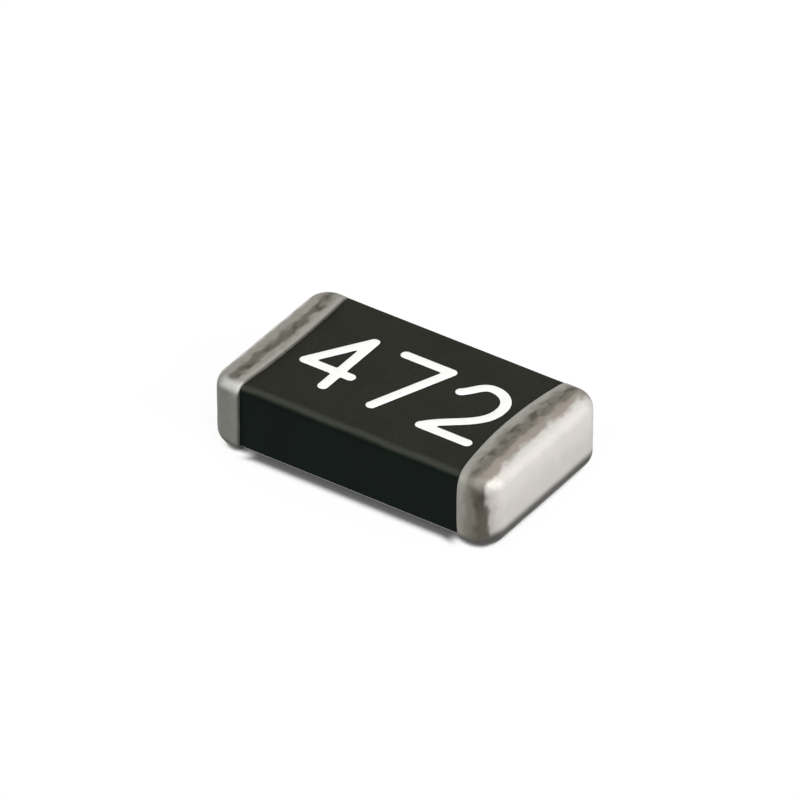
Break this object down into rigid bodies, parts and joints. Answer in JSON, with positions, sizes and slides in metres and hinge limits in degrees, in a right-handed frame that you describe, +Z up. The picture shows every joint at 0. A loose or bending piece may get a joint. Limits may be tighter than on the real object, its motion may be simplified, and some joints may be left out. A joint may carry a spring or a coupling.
{
  "type": "chip resistor",
  "caption": "Black rectangular surface-mount chip resistor with rounded tin-plated end caps that wrap its ends and rest flat for soldering.",
  "frame": {"origin": "middle of the underside, on the plane of the two solder faces", "axes": "+X along the chip towards the longer end cap, +Y across the chip, +Z up through the marked face"},
  "size_m": [0.0022, 0.0012, 0.0005],
  "materials": {
    "alumina": "fired, matt",
    "electrode": "printed and fired, matt",
    "resistive_film": "printed and fired, matt",
    "glass_layer": "fired, glossy",
    "black_coating": "cured, satin, fine grain",
    "termination_paste": "dipped and fired, matt",
    "nickel": "plated, satin",
    "tin": "plated, matt, mottled"
  },
  "bodies": {
    "root": {"ceramic_substrate": "alumina", "bottom_electrode_left": "electrode", "bottom_electrode_right": "electrode", "top_electrode_left": "electrode", "top_electrode_right": "electrode", "resistor_film": "resistive_film", "glass_passivation": "glass_layer", "protective_coating": "black_coating", "end_termination_left": "termination_paste", "end_termination_right": "termination_paste", "nickel_barrier_left": "nickel", "nickel_barrier_right": "nickel", "tin_plating_left": "tin", "tin_plating_right": "tin"}
  },
  "joints": []
}
